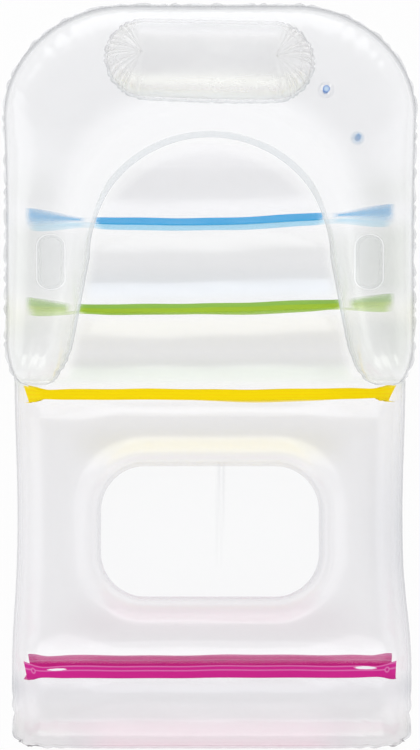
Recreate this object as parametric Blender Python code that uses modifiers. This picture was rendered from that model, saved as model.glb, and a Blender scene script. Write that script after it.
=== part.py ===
"""Inflatable pool chair: a film mat with cross baffles, a horseshoe collar and a head pillow.

The mat lies flat, head end towards +Y, and is cut by its yellow and magenta cross baffles into
a back, a seat and a foot part, which fold along those two lines. The horseshoe collar lies on the
back part and carries a pillow, two grip patches and a push-in valve. A second valve sits in the
mat's underside. Lengths are in metres, +Z is up, and the origin is under the middle of the chair.
"""
import math

import bmesh
import bpy
from mathutils import Vector

# Film and clearances
FILM = 0.0004
WINDOW_FILM = 0.0003
GAP = 0.0003
SEAM_HALF = WINDOW_FILM / 2 + GAP

# Mat
LENGTH = 1.584
WIDTH = 0.858
MAT_HEAD_INSET = 0.037
WEB_HEIGHT = 0.095
BULGE = 0.024
MAT_FLATTENING = 0.002
RIM = 0.008
EDGE_RADIUS = 0.07
LOBE_RISE = 0.08
FOOT_CORNER_RADIUS = 0.04
HEAD_CORNER_RADIUS = 0.2
EDGE_STEPS = 3
LOBE_STEPS = 4

# Cross baffles, each place being the foot side of its weld, as a share of the length
MAGENTA_PLACE_SHARE = 0.1048
MAGENTA_WIDTH = 0.028
YELLOW_PLACE_SHARE = 0.483
YELLOW_WIDTH = 0.023
GREEN_PLACE_SHARE = 0.6023
GREEN_WIDTH = 0.019
BLUE_PLACE_SHARE = 0.7222
BLUE_WIDTH = 0.016
COLLAR_WELD_PLACE_SHARE = 0.839
COLLAR_WELD_WIDTH = 0.012

# Clear window in the seat
WINDOW_RAIL_WIDTH = 0.186
WINDOW_LENGTH = 0.292
WINDOW_PLACE_SHARE = 0.3005
WINDOW_CORNER = 0.085
WINDOW_OVERLAP = 0.006

# Horseshoe collar
ARM_END_PLACE_SHARE = 0.5038
ARM_END_SHARE = 0.5
ARM_END_LENGTH = 0.085
ARM_HALF_HEIGHT = 0.075
HEAD_HALF_HEIGHT = 0.1
COLLAR_FLATTENING = 0.008
ARM_FLAT_SHARE = 0.93
HEAD_FLAT_SHARE = 0.8
BEND_PLACE_SHARE = 0.6705
ARM_WIDTH = 0.179
HEAD_TUBE_WIDTH = 0.276
INNER_FLARE = 0.05
OUTER_CORNER_LENGTH = 0.232
OUTER_STRAIGHT_HALF = 0.17
ARM_STEPS = 5
HEAD_STEPS = 11
ACROSS_STEPS = 8
RAMP_START_SHARE = 0.15
RAMP_END_SHARE = 0.45
SECTION_POWER = 3

# Pillow
PILLOW_LENGTH = 0.416
PILLOW_WIDTH = 0.179
PILLOW_INSET = 0.143
PILLOW_RISE = 0.055
PILLOW_POWER = 3.2
PILLOW_SIDES = 28
PILLOW_RINGS = 4
VENT_RADIUS = 0.008
VENT_SPACING = 0.2

# Grip patches on the arms
GRIP_WIDTH = 0.05
GRIP_LENGTH = 0.115
GRIP_INSET = 0.093
GRIP_PLACE_SHARE = 0.6578

# Valves
COLLAR_VALVE_PILLOW_GAP = 0.023
COLLAR_VALVE_HEAD_INSET = 0.197
MAT_VALVE_SIDE_INSET = 0.097
MAT_VALVE_HEAD_INSET = 0.195
VALVE_TRAVEL = 0.01
STEM_RADIUS = 0.006
BORE_RADIUS = 0.004
LIP_RADIUS = 0.007
LIP_THICKNESS = 0.001
STEM_LENGTH = 0.018
CAP_THICKNESS = 0.0012
PIN_LENGTH = 0.005
PIN_TIP_RADIUS = 0.0022
PIN_ROOT_RADIUS = 0.0032
RECESS_MARGIN = 0.003
BASE_FLANGE_WIDTH = 0.006
BASE_WALL = 0.001
SLEEVE_LENGTH = 0.003
FLAP_THICKNESS = 0.0006
FLAP_MARGIN = 0.0002
VALVE_SIDES = 16
HOLE_MARGIN = 0.0003
CUT_OVERRUN = 0.01
HOLE_SIDES = 24
CORNER_SEGMENTS = 4
ROUND_PROFILE = 0.5

# Levels worked out from the sizes above
HALF_WIDTH = WIDTH / 2
FOOT_END = -LENGTH / 2
COLLAR_HEAD = LENGTH / 2
MAT_HEAD = COLLAR_HEAD - MAT_HEAD_INSET
MAGENTA_Y = FOOT_END + MAGENTA_PLACE_SHARE * LENGTH
YELLOW_Y = FOOT_END + YELLOW_PLACE_SHARE * LENGTH
GREEN_Y = FOOT_END + GREEN_PLACE_SHARE * LENGTH
BLUE_Y = FOOT_END + BLUE_PLACE_SHARE * LENGTH
COLLAR_WELD_Y = FOOT_END + COLLAR_WELD_PLACE_SHARE * LENGTH
WINDOW_Y = FOOT_END + WINDOW_PLACE_SHARE * LENGTH
WINDOW_WIDTH = WIDTH - 2 * WINDOW_RAIL_WIDTH
ARM_END_Y = FOOT_END + ARM_END_PLACE_SHARE * LENGTH
BEND_Y = FOOT_END + BEND_PLACE_SHARE * LENGTH
INNER_HALF_WIDTH = HALF_WIDTH - ARM_WIDTH
INNER_RISE = COLLAR_HEAD - HEAD_TUBE_WIDTH - BEND_Y
OUTER_BEND_Y = COLLAR_HEAD - OUTER_CORNER_LENGTH
PILLOW_Y = COLLAR_HEAD - PILLOW_INSET
GRIP_X = HALF_WIDTH - GRIP_INSET
GRIP_Y = FOOT_END + GRIP_PLACE_SHARE * LENGTH
COLLAR_VALVE_X = PILLOW_LENGTH / 2 + COLLAR_VALVE_PILLOW_GAP
COLLAR_VALVE_Y = COLLAR_HEAD - COLLAR_VALVE_HEAD_INSET
MAT_VALVE_X = HALF_WIDTH - MAT_VALVE_SIDE_INSET
MAT_VALVE_Y = MAT_HEAD - MAT_VALVE_HEAD_INSET
MAT_MIDDLE = FILM - MAT_FLATTENING + SEAM_HALF + WEB_HEIGHT / 2 + BULGE
MAT_TOP = MAT_MIDDLE + SEAM_HALF + WEB_HEIGHT / 2 + BULGE + FILM
COLLAR_BOTTOM = MAT_TOP + GAP
ARM_MIDDLE = COLLAR_BOTTOM + FILM - COLLAR_FLATTENING + SEAM_HALF + ARM_HALF_HEIGHT
HEAD_MIDDLE = COLLAR_BOTTOM + FILM - COLLAR_FLATTENING + SEAM_HALF + HEAD_HALF_HEIGHT
ARM_FLAT_TOP = ARM_MIDDLE + SEAM_HALF + ARM_FLAT_SHARE * ARM_HALF_HEIGHT + FILM
HEAD_FLAT_TOP = HEAD_MIDDLE + SEAM_HALF + HEAD_FLAT_SHARE * HEAD_HALF_HEIGHT + FILM
MAGENTA_WELD = (MAGENTA_Y, MAGENTA_WIDTH)
YELLOW_WELD = (YELLOW_Y, YELLOW_WIDTH)
GREEN_WELD = (GREEN_Y, GREEN_WIDTH)
BLUE_WELD = (BLUE_Y, BLUE_WIDTH)
COLLAR_WELD = (COLLAR_WELD_Y, COLLAR_WELD_WIDTH)
RECESS_RADIUS = LIP_RADIUS + RECESS_MARGIN
CAP_TOP_DEPTH = GAP
LIP_TOP_DEPTH = CAP_TOP_DEPTH + CAP_THICKNESS + GAP
RECESS_DEPTH = LIP_TOP_DEPTH + LIP_THICKNESS + GAP

CLEAR = (0.86, 0.90, 0.92)
BLUE = (0.05, 0.36, 0.70)
GREEN = (0.24, 0.48, 0.08)
YELLOW = (0.94, 0.72, 0.0)
MAGENTA = (0.58, 0.04, 0.28)
VALVE_BLUE = (0.10, 0.26, 0.64)


def clear_scene():
    for old in list(bpy.data.objects):
        bpy.data.objects.remove(old, do_unlink=True)


def new_collection(name):
    collection = bpy.data.collections.new(name)
    bpy.context.scene.collection.children.link(collection)
    return collection


def new_material(name, color, roughness):
    material = bpy.data.materials.new(name)
    material.use_nodes = True
    shader = material.node_tree.nodes["Principled BSDF"]
    shader.inputs["Base Color"].default_value = (*color, 1)
    shader.inputs["Roughness"].default_value = roughness
    shader.inputs["Metallic"].default_value = 0
    material.diffuse_color = (*color, 1)
    return material


def new_object(name, mesh, material, collection):
    piece = bpy.data.objects.new(name, mesh)
    collection.objects.link(piece)
    mesh.materials.append(material)
    mesh.shade_smooth()
    mesh.set_sharp_from_angle(angle=math.radians(40))
    return piece


def steps(start, end, count):
    """Evenly spaced values from start to end, without the first."""
    return [start + (end - start) * number / count for number in range(1, count + 1)]


def film_sheet(name, rows, facing, thickness, material, collection, keep=None):
    """A skin through rows of points, thickened on the side that facing points to."""
    bm = bmesh.new()
    grid = [[bm.verts.new(point) for point in row] for row in rows]
    for row in range(len(grid) - 1):
        for column in range(len(grid[0]) - 1):
            if keep is None or keep(row, column):
                bm.faces.new((grid[row][column], grid[row][column + 1],
                              grid[row + 1][column + 1], grid[row + 1][column]))
    loose = [vert for vert in bm.verts if not vert.link_faces]
    bmesh.ops.delete(bm, geom=loose, context="VERTS")
    bmesh.ops.remove_doubles(bm, verts=bm.verts, dist=GAP / 10)
    bm.normal_update()
    lean = sum((face.normal * face.calc_area() for face in bm.faces), Vector())
    if lean.dot(Vector(facing)) < 0:
        bmesh.ops.reverse_faces(bm, faces=bm.faces)
    mesh = bpy.data.meshes.new(name)
    bm.to_mesh(mesh)
    bm.free()
    piece = new_object(name, mesh, material, collection)
    shell = piece.modifiers.new("film_thickness", "SOLIDIFY")
    shell.thickness = thickness
    shell.offset = 1
    shell.use_even_offset = True
    return piece


def rise(distance):
    """Share of the full height at a distance inside a welded rim, a quarter of an ellipse."""
    share = min(max(distance / EDGE_RADIUS, 0), 1)
    return math.sqrt(1 - (1 - share) ** 2)


def lobe(y, welds):
    """Swell between two welds, from 0 on a weld to 1 in the middle of a chamber."""
    distance = min(max(start - y, y - start - width, 0) for start, width in welds)
    return math.sin(math.pi / 2 * min(distance / LOBE_RISE, 1))


def window_distance(x, y):
    """Distance outside the window's rounded outline, negative inside it."""
    across = abs(x) - WINDOW_WIDTH / 2 + WINDOW_CORNER
    along = abs(y - WINDOW_Y) - WINDOW_LENGTH / 2 + WINDOW_CORNER
    outside = math.hypot(max(across, 0), max(along, 0))
    return outside + min(max(across, along), 0) - WINDOW_CORNER


def mat_height(u, x, y, welds):
    """Height of a sheet's inner face over the mat's middle, u being x on the widest line."""
    height = WEB_HEIGHT / 2 + BULGE * lobe(y, welds)
    height *= rise(HALF_WIDTH - RIM - abs(u))
    height *= rise(y - FOOT_END - RIM) * rise(MAT_HEAD - RIM - y)
    height *= rise(window_distance(x, y) - RIM)
    return SEAM_HALF + height


def narrowed(u, y):
    """x of the point u of a row, drawn in at the mat's rounded corners."""
    foot_share = min(max(1 - (y - FOOT_END) / FOOT_CORNER_RADIUS, 0), 1)
    head_share = min(max(1 - (MAT_HEAD - y) / HEAD_CORNER_RADIUS, 0), 1)
    foot_loss = FOOT_CORNER_RADIUS * (1 - math.sqrt(1 - foot_share ** 2))
    head_loss = HEAD_CORNER_RADIUS * (1 - math.sqrt(1 - head_share ** 2))
    return u * (1 - (foot_loss + head_loss) / HALF_WIDTH)


def edge_offsets():
    """Distances from a rim at which the quarter ellipse is sampled."""
    turn = math.pi / 2 / EDGE_STEPS
    return [RIM + EDGE_RADIUS * (1 - math.cos(turn * number)) for number in range(EDGE_STEPS + 1)]


def mirrored(half):
    """The values of half, which starts above 0, on both sides of 0."""
    return [-value for value in reversed(half)] + [0] + half


def mat_point(u, y, top, welds, place):
    x, y = place(u, y)
    height = mat_height(u, x, y, welds)
    if top:
        return (x, y, MAT_MIDDLE + height)
    return (x, y, max(MAT_MIDDLE - height, FILM))


def mat_sheet(name, us, ys, top, welds, place, collection, keep=None):
    rows = [[mat_point(u, y, top, welds, place) for u in us] for y in ys]
    facing = (0, 0, 1 if top else -1)
    return film_sheet(name, rows, facing, FILM, MATERIALS["clear_film"], collection, keep)


def plain_place(u, y):
    return narrowed(u, y), y


def window_place(u, y):
    """Grid places bent into arcs round the window's corners."""
    across = abs(u) - WINDOW_WIDTH / 2 + WINDOW_CORNER
    along = abs(y - WINDOW_Y) - WINDOW_LENGTH / 2 + WINDOW_CORNER
    if across <= 0 or along <= 0:
        return u, y
    reach = max(across, along)
    angle = math.pi / 4 * min(across, along) / reach
    near = reach * math.sin(angle)
    far = reach * math.cos(angle)
    bent_across, bent_along = (far, near) if across >= along else (near, far)
    limit = WINDOW_CORNER + RIM + EDGE_RADIUS
    if reach > limit + GAP:
        bent_across, bent_along = across, along
    x = math.copysign(WINDOW_WIDTH / 2 - WINDOW_CORNER + bent_across, u)
    y = WINDOW_Y + math.copysign(WINDOW_LENGTH / 2 - WINDOW_CORNER + bent_along, y - WINDOW_Y)
    return x, y


def side_stations():
    return [HALF_WIDTH - offset for offset in reversed(edge_offsets())] + [HALF_WIDTH]


def lobe_rows(weld, next_weld):
    """Rows from a weld's two edges up to, and without, the next weld."""
    weld_end = sum(weld)
    return [weld[0], weld_end] + steps(weld_end, next_weld[0], LOBE_STEPS)[:-1]


def make_back(collection):
    flat_half = HALF_WIDTH - RIM - EDGE_RADIUS
    us = mirrored(steps(0, flat_half, 3) + side_stations()[1:])
    head_rows = [MAT_HEAD - offset for offset in reversed(edge_offsets())] + [MAT_HEAD]
    rows = lobe_rows(YELLOW_WELD, GREEN_WELD) + lobe_rows(GREEN_WELD, BLUE_WELD)
    rows += lobe_rows(BLUE_WELD, COLLAR_WELD)
    rows += [COLLAR_WELD_Y, sum(COLLAR_WELD), sum(COLLAR_WELD) + LOBE_RISE / 2]
    rows += head_rows
    top_welds = (MAGENTA_WELD, YELLOW_WELD, GREEN_WELD, BLUE_WELD, COLLAR_WELD)
    bottom_welds = (MAGENTA_WELD, YELLOW_WELD, GREEN_WELD, BLUE_WELD)
    mat_sheet("back_top_sheet", us, rows, True, top_welds, plain_place, collection)
    return mat_sheet("back_bottom_sheet", us, rows, False, bottom_welds, plain_place, collection)


def make_seat(collection):
    welds = (MAGENTA_WELD, YELLOW_WELD)
    offsets = edge_offsets()
    window_half = WINDOW_WIDTH / 2
    inward = [-WINDOW_CORNER, -WINDOW_CORNER / 2, 0]
    half = [window_half + offset for offset in inward + offsets]
    us = mirrored(half + side_stations())
    window_rows = [WINDOW_LENGTH / 2 + offset for offset in inward + offsets]
    seat_head = YELLOW_Y - GAP
    head_rows = [WINDOW_Y + value for value in window_rows]
    head_rows += steps(head_rows[-1], seat_head, 2)
    foot_rows = [MAGENTA_Y, sum(MAGENTA_WELD)]
    foot_rows += [WINDOW_Y - value for value in reversed(window_rows)]
    ys = foot_rows + head_rows

    def keep(row, column):
        x_middle = (us[column] + us[column + 1]) / 2
        y_middle = (ys[row] + ys[row + 1]) / 2
        inside_x = abs(x_middle) < window_half
        return not (inside_x and abs(y_middle - WINDOW_Y) < WINDOW_LENGTH / 2)

    mat_sheet("seat_top_sheet", us, ys, True, welds, window_place, collection, keep)
    mat_sheet("seat_bottom_sheet", us, ys, False, welds, window_place, collection, keep)


def make_foot(collection):
    flat_half = HALF_WIDTH - RIM - EDGE_RADIUS
    us = mirrored(steps(0, flat_half, 3) + side_stations()[1:])
    foot_head = MAGENTA_Y - GAP
    ys = [FOOT_END] + [FOOT_END + offset for offset in edge_offsets()]
    ys += steps(ys[-1], foot_head, 3)
    welds = (MAGENTA_WELD, YELLOW_WELD)
    mat_sheet("foot_top_sheet", us, ys, True, welds, plain_place, collection)
    mat_sheet("foot_bottom_sheet", us, ys, False, welds, plain_place, collection)


def make_window(collection):
    bm = bmesh.new()
    bmesh.ops.create_cube(bm, size=1)
    size = (WINDOW_WIDTH + 2 * WINDOW_OVERLAP, WINDOW_LENGTH + 2 * WINDOW_OVERLAP, WINDOW_FILM)
    bmesh.ops.scale(bm, vec=size, verts=bm.verts)
    upright = [edge for edge in bm.edges if abs(edge.verts[0].co.z - edge.verts[1].co.z) > GAP / 2]
    bmesh.ops.bevel(bm, geom=upright, offset=WINDOW_CORNER + WINDOW_OVERLAP,
                    segments=CORNER_SEGMENTS, affect="EDGES", profile=ROUND_PROFILE)
    bmesh.ops.translate(bm, vec=(0, WINDOW_Y, MAT_MIDDLE), verts=bm.verts)
    mesh = bpy.data.meshes.new("seat_window_panel")
    bm.to_mesh(mesh)
    bm.free()
    new_object("seat_window_panel", mesh, MATERIALS["window_film"], collection)


def make_baffle(name, weld, color, collection):
    """A channel of coloured film: a web and two flanges, welded under and over the sheets."""
    ends = side_stations()
    end_half = ends[1]
    flat_half = HALF_WIDTH - RIM - EDGE_RADIUS
    us = mirrored(steps(0, flat_half, 3) + [value for value in ends[1:] if value <= end_half + GAP])
    columns = []
    for u in us:
        height = mat_height(u, 0, weld[0], (weld,)) - GAP
        near = weld[0] + GAP + FILM
        far = sum(weld) - GAP
        upper = MAT_MIDDLE + height - FILM
        lower = MAT_MIDDLE - height + FILM
        columns.append([(u, far, upper), (u, near, upper), (u, near, lower), (u, far, lower)])
    return film_sheet(name, columns, (0, -1, 0), FILM, MATERIALS[color], collection)


def ease(value):
    value = min(max(value, 0), 1)
    return value * value * (3 - 2 * value)


def outer_edge(share):
    """Point of the collar's outer outline, from the bend line (0) to the head's middle (1)."""
    straight = OUTER_BEND_Y - BEND_Y
    radius_x = HALF_WIDTH - OUTER_STRAIGHT_HALF
    radius_y = COLLAR_HEAD - OUTER_BEND_Y
    arc = math.pi / 4 * (radius_x + radius_y)
    travelled = share * (straight + arc + OUTER_STRAIGHT_HALF)
    if travelled <= straight:
        return HALF_WIDTH, BEND_Y + travelled
    if travelled <= straight + arc:
        angle = math.pi / 2 * (travelled - straight) / arc
        return (OUTER_STRAIGHT_HALF + radius_x * math.cos(angle),
                OUTER_BEND_Y + radius_y * math.sin(angle))
    return straight + arc + OUTER_STRAIGHT_HALF - travelled, COLLAR_HEAD


def inner_edge(share):
    angle = math.pi / 2 * share
    return INNER_HALF_WIDTH * math.cos(angle), BEND_Y + INNER_RISE * math.sin(angle)


def collar_stations():
    """Inner point, outer point, head share and end rise of each section of the right half."""
    stations = []
    arm_length = BEND_Y - ARM_END_Y
    end_rows = [ARM_END_Y + offset for offset in [0] + edge_offsets()]
    rows = end_rows + steps(end_rows[-1], BEND_Y, ARM_STEPS)
    for y in rows:
        flare = INNER_FLARE * (BEND_Y - y) / arm_length
        inner = INNER_HALF_WIDTH + flare
        middle = (inner + HALF_WIDTH) / 2
        share = min((y - ARM_END_Y) / ARM_END_LENGTH, 1)
        round_end = math.sqrt(1 - (1 - share) ** 2)
        half = (HALF_WIDTH - inner) / 2 * (ARM_END_SHARE + (1 - ARM_END_SHARE) * round_end)
        end_rise = rise(y - ARM_END_Y - RIM)
        stations.append(((middle - half, y), (middle + half, y), 0, end_rise))
    for share in steps(0, 1, HEAD_STEPS):
        stations.append((inner_edge(share), outer_edge(share), share, 1))
    return stations


def collar_section(inner, outer, share, end_rise, top, side):
    """Points across the collar from its inner to its outer rim at one station."""
    ramp = ease((share - RAMP_START_SHARE) / (RAMP_END_SHARE - RAMP_START_SHARE))
    half_height = ARM_HALF_HEIGHT + (HEAD_HALF_HEIGHT - ARM_HALF_HEIGHT) * ramp
    middle = ARM_MIDDLE + (HEAD_MIDDLE - ARM_MIDDLE) * ramp
    flat_share = ARM_FLAT_SHARE + (HEAD_FLAT_SHARE - ARM_FLAT_SHARE) * ramp
    width = math.dist(inner, outer)
    points = []
    places = [0] + [RIM + (width - 2 * RIM) * (1 - math.cos(math.pi * number / ACROSS_STEPS)) / 2
                    for number in range(ACROSS_STEPS + 1)] + [width]
    for place in places:
        x = inner[0] + (outer[0] - inner[0]) * place / width
        y = inner[1] + (outer[1] - inner[1]) * place / width
        offset = min(abs(place - width / 2) / (width / 2 - RIM), 1)
        height = half_height * end_rise * math.sqrt(1 - offset ** SECTION_POWER)
        if top:
            z = middle + SEAM_HALF + min(height, flat_share * half_height)
        else:
            z = max(middle - SEAM_HALF - height, COLLAR_BOTTOM + FILM)
        points.append((side * x, y, z))
    return points


def make_collar_sheet(name, top, collection):
    right = [collar_section(*station, top, 1) for station in collar_stations()]
    left = [collar_section(*station, top, -1) for station in collar_stations()[:-1]]
    rows = right + left[::-1]
    facing = (0, 0, 1 if top else -1)
    return film_sheet(name, rows, facing, FILM, MATERIALS["clear_film"], collection)


def pillow_outline(angle):
    """Point of the pillow's outline, a rounded lozenge with a superellipse's formula."""
    power = 2 / PILLOW_POWER
    x = math.copysign(abs(math.cos(angle)) ** power, math.cos(angle))
    y = math.copysign(abs(math.sin(angle)) ** power, math.sin(angle))
    return Vector((x * PILLOW_LENGTH / 2, y * PILLOW_WIDTH / 2, 0))


def make_pillow(collection):
    """The pillow's upper sheet, a dome whose rim is welded to the collar's upper sheet."""
    rim_share = 1 - 2 * RIM / PILLOW_WIDTH
    base = HEAD_FLAT_TOP + GAP
    rings = [(1, 0)]
    for number in range(PILLOW_RINGS + 1):
        angle = math.pi / 2 * number / PILLOW_RINGS
        rings.append((rim_share * math.cos(angle), PILLOW_RISE * math.sin(angle)))
    rows = []
    for scale, height in rings:
        turn = [2 * math.pi * number / PILLOW_SIDES for number in range(PILLOW_SIDES)]
        ring = [pillow_outline(angle) * scale + Vector((0, PILLOW_Y, base + height)) for angle in turn]
        rows.append(ring + ring[:1])
    film_sheet("pillow_top_sheet", rows, (0, 0, 1), FILM, MATERIALS["clear_film"], collection)


def make_grip(name, x, collection):
    """A flat patch with round ends on the flat top of an arm."""
    bm = bmesh.new()
    bmesh.ops.create_cube(bm, size=1)
    bmesh.ops.scale(bm, vec=(GRIP_WIDTH, GRIP_LENGTH, FILM), verts=bm.verts)
    upright = [edge for edge in bm.edges if abs(edge.verts[0].co.z - edge.verts[1].co.z) > GAP / 2]
    bmesh.ops.bevel(bm, geom=upright, offset=GRIP_WIDTH / 2 - GAP, segments=CORNER_SEGMENTS,
                    affect="EDGES", profile=ROUND_PROFILE)
    mesh = bpy.data.meshes.new(name)
    bm.to_mesh(mesh)
    bm.free()
    patch = new_object(name, mesh, MATERIALS["grip_film"], collection)
    patch.location = (x, GRIP_Y, ARM_FLAT_TOP + GAP + FILM / 2)


def turned(name, profile, closed, material, collection):
    """A body turned about its own Z axis from a profile of (radius, height) points."""
    bm = bmesh.new()
    verts = [bm.verts.new((radius, 0, height)) for radius, height in profile]
    for first, second in zip(verts, verts[1:]):
        bm.edges.new((first, second))
    if closed:
        bm.edges.new((verts[-1], verts[0]))
    mesh = bpy.data.meshes.new(name)
    bm.to_mesh(mesh)
    bm.free()
    piece = new_object(name, mesh, material, collection)
    screw = piece.modifiers.new("turn", "SCREW")
    screw.steps = VALVE_SIDES
    screw.render_steps = VALVE_SIDES
    screw.use_merge_vertices = True
    screw.merge_threshold = GAP / 10
    return piece


def make_valve(prefix, place, outward, out, collection):
    """A push-in valve: base, stem, plug and check flap, with local +Z pointing out of the film."""
    holder = bpy.data.objects.new(prefix + "_valve_place", None)
    collection.objects.link(holder)
    holder.location = place
    if outward < 0:
        holder.rotation_euler = (math.pi, 0, 0)
    blue = MATERIALS["valve_plastic"]
    flange_top = -FILM - GAP
    outer = RECESS_RADIUS + BASE_WALL
    floor = -RECESS_DEPTH
    guide = STEM_RADIUS + GAP
    sleeve_end = floor - BASE_WALL - SLEEVE_LENGTH
    base_profile = [
        (outer + BASE_FLANGE_WIDTH, flange_top),
        (outer + BASE_FLANGE_WIDTH, flange_top - BASE_WALL),
        (outer, flange_top - BASE_WALL),
        (outer, floor - BASE_WALL),
        (guide + BASE_WALL, floor - BASE_WALL),
        (guide + BASE_WALL, sleeve_end),
        (guide, sleeve_end),
        (guide, floor),
        (RECESS_RADIUS, floor),
        (RECESS_RADIUS, flange_top),
    ]
    base = turned(prefix + "_valve_base", base_profile, True, blue, collection)
    base.parent = holder
    lip_top = out - LIP_TOP_DEPTH
    stem_end = lip_top - STEM_LENGTH
    stem_profile = [
        (LIP_RADIUS, lip_top),
        (LIP_RADIUS, lip_top - LIP_THICKNESS),
        (STEM_RADIUS, lip_top - LIP_THICKNESS),
        (STEM_RADIUS, stem_end),
        (BORE_RADIUS, stem_end),
        (BORE_RADIUS, lip_top),
    ]
    stem = turned(prefix + "_valve_stem", stem_profile, True, blue, collection)
    stem.parent = holder
    cap_bottom = GAP / 2
    plug_profile = [
        (0, cap_bottom + CAP_THICKNESS),
        (LIP_RADIUS, cap_bottom + CAP_THICKNESS),
        (LIP_RADIUS, cap_bottom),
        (PIN_ROOT_RADIUS, cap_bottom),
        (PIN_TIP_RADIUS, cap_bottom - PIN_LENGTH),
        (0, cap_bottom - PIN_LENGTH),
    ]
    plug_hinge = bpy.data.objects.new(prefix + "_plug_hinge", None)
    collection.objects.link(plug_hinge)
    plug_hinge.parent = holder
    plug_hinge.location = (-LIP_RADIUS, 0, lip_top + GAP / 2)
    plug = turned(prefix + "_valve_plug", plug_profile, False, blue, collection)
    plug.parent = plug_hinge
    plug.location = (LIP_RADIUS, 0, 0)
    flap_radius = STEM_RADIUS - FLAP_MARGIN
    flap_profile = [
        (0, -GAP / 2),
        (flap_radius, -GAP / 2),
        (flap_radius, -GAP / 2 - FLAP_THICKNESS),
        (0, -GAP / 2 - FLAP_THICKNESS),
    ]
    flap_hinge = bpy.data.objects.new(prefix + "_flap_hinge", None)
    collection.objects.link(flap_hinge)
    flap_hinge.parent = holder
    flap_hinge.location = (-flap_radius, 0, stem_end - GAP / 2)
    flap = turned(prefix + "_valve_flap", flap_profile, False, blue, collection)
    flap.parent = flap_hinge
    flap.location = (flap_radius, 0, 0)


def cut_round_hole(piece, name, x, y, z, radius, cutters):
    bm = bmesh.new()
    bmesh.ops.create_cone(bm, cap_ends=True, segments=HOLE_SIDES, radius1=radius, radius2=radius,
                          depth=2 * CUT_OVERRUN)
    mesh = bpy.data.meshes.new(name)
    bm.to_mesh(mesh)
    bm.free()
    cutter = bpy.data.objects.new(name, mesh)
    cutters.objects.link(cutter)
    cutter.location = (x, y, z)
    cutter.hide_render = True
    cutter.display_type = "WIRE"
    cut = piece.modifiers.new(name, "BOOLEAN")
    cut.operation = "DIFFERENCE"
    cut.solver = "EXACT"
    cut.object = cutter


clear_scene()
parts = new_collection("inflatable_pool_chair")
cutters = new_collection("cutters")
MATERIALS = {
    "clear_film": new_material("clear_film", CLEAR, 0.12),
    "window_film": new_material("window_film", CLEAR, 0.08),
    "grip_film": new_material("grip_film", CLEAR, 0.25),
    "blue_film": new_material("blue_film", BLUE, 0.2),
    "green_film": new_material("green_film", GREEN, 0.2),
    "yellow_film": new_material("yellow_film", YELLOW, 0.2),
    "magenta_film": new_material("magenta_film", MAGENTA, 0.2),
    "valve_plastic": new_material("valve_plastic", VALVE_BLUE, 0.35),
}

back_bottom = make_back(parts)
make_seat(parts)
make_foot(parts)
make_window(parts)
make_baffle("blue_baffle", BLUE_WELD, "blue_film", parts)
make_baffle("green_baffle", GREEN_WELD, "green_film", parts)
make_baffle("yellow_baffle", YELLOW_WELD, "yellow_film", parts)
make_baffle("magenta_baffle", MAGENTA_WELD, "magenta_film", parts)
make_collar_sheet("collar_bottom_sheet", False, parts)
collar_top = make_collar_sheet("collar_top_sheet", True, parts)
make_pillow(parts)
make_grip("left_grip_patch", -GRIP_X, parts)
make_grip("right_grip_patch", GRIP_X, parts)
make_valve("collar", (COLLAR_VALVE_X, COLLAR_VALVE_Y, HEAD_FLAT_TOP), 1, VALVE_TRAVEL, parts)
make_valve("mat", (MAT_VALVE_X, MAT_VALVE_Y, 0), -1, 0, parts)
valve_hole = RECESS_RADIUS + HOLE_MARGIN
cut_round_hole(collar_top, "collar_valve_hole", COLLAR_VALVE_X, COLLAR_VALVE_Y, HEAD_FLAT_TOP,
               valve_hole, cutters)
cut_round_hole(back_bottom, "mat_valve_hole", MAT_VALVE_X, MAT_VALVE_Y, 0, valve_hole, cutters)
cut_round_hole(collar_top, "left_pillow_vent", -VENT_SPACING / 2, PILLOW_Y, HEAD_FLAT_TOP,
               VENT_RADIUS, cutters)
cut_round_hole(collar_top, "right_pillow_vent", VENT_SPACING / 2, PILLOW_Y, HEAD_FLAT_TOP,
               VENT_RADIUS, cutters)
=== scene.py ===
"""Looks of the inflatable pool chair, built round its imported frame. Metres, +Z up, head end +Y."""
import math
from collections import namedtuple

import bpy
import numpy as np
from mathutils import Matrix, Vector


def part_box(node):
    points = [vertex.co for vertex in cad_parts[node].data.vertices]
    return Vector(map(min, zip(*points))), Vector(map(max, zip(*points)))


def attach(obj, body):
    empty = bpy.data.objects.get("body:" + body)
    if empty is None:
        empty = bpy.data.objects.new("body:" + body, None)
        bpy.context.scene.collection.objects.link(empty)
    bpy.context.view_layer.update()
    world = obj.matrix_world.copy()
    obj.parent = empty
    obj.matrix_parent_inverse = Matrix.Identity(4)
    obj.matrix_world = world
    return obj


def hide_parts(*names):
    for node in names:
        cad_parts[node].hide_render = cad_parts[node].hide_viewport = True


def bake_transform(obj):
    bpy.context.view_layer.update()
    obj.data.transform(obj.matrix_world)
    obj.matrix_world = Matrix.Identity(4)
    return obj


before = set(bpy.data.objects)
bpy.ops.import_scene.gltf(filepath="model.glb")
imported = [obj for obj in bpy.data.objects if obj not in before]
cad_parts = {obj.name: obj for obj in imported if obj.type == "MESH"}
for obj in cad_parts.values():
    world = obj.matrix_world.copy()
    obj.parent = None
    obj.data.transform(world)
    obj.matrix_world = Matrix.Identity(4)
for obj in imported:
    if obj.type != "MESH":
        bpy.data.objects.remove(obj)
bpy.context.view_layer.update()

# Camera
# The chair lies on a white floor and is seen from straight above, head end up in the picture.
# The camera stands near enough for the deeper flange of each cross baffle to show beside its top.
camera_height = 2.75
camera_y = 0.027
picture_length = 1.645
picture_level = 0.07
sensor_side = 24
camera_data = bpy.data.cameras.new("camera")
camera_data.sensor_width = sensor_side
camera_data.lens = sensor_side * (camera_height - picture_level) / picture_length
camera = bpy.data.objects.new("camera", camera_data)
camera.location = (0, camera_y, camera_height)
bpy.context.scene.collection.objects.link(camera)
bpy.context.scene.camera = camera

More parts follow.
